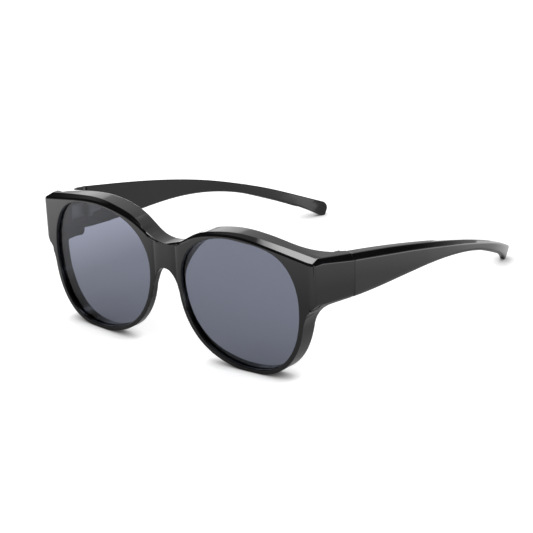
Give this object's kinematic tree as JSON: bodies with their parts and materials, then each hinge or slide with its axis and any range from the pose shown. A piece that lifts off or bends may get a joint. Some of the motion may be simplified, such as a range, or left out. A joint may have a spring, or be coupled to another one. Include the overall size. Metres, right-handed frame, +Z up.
{
  "type": "fitover sunglasses",
  "caption": "Wraparound fitover sunglasses with deep glossy rims, a deck over the brow, tinted lenses and folding temples.",
  "frame": {"origin": "on the ground under the middle of the bounding box, between rim bottoms and temple tips", "axes": "+Z up, -Y towards the front of the lenses, +Y along the open temples, +X to the wearer's left"},
  "size_m": [0.149, 0.189, 0.0597],
  "materials": {
    "frame_plastic": "polished black",
    "lens_tint": "clear grey tint",
    "hinge_steel": "brushed"
  },
  "bodies": {
    "front": {"front_frame": "frame_plastic", "lens_left": "lens_tint", "lens_right": "lens_tint", "front_hinge_leaf_left": "hinge_steel", "front_hinge_leaf_right": "hinge_steel", "hinge_screw_left": "hinge_steel", "hinge_screw_right": "hinge_steel"},
    "temple_left_arm": {"temple_left": "frame_plastic", "temple_hinge_leaf_left": "hinge_steel"},
    "temple_right_arm": {"temple_right": "frame_plastic", "temple_hinge_leaf_right": "hinge_steel"}
  },
  "joints": [
    {"name": "temple_left_fold", "type": "hinge", "parent": "front", "child": "temple_left_arm", "pos_m": [0.0679, -0.06319, 0.04185], "axis": [0, 0, 1], "range_deg": [0, 92]},
    {"name": "temple_right_fold", "type": "hinge", "parent": "front", "child": "temple_right_arm", "pos_m": [-0.0679, -0.06319, 0.04185], "axis": [0, 0, -1], "range_deg": [0, 84]}
  ]
}
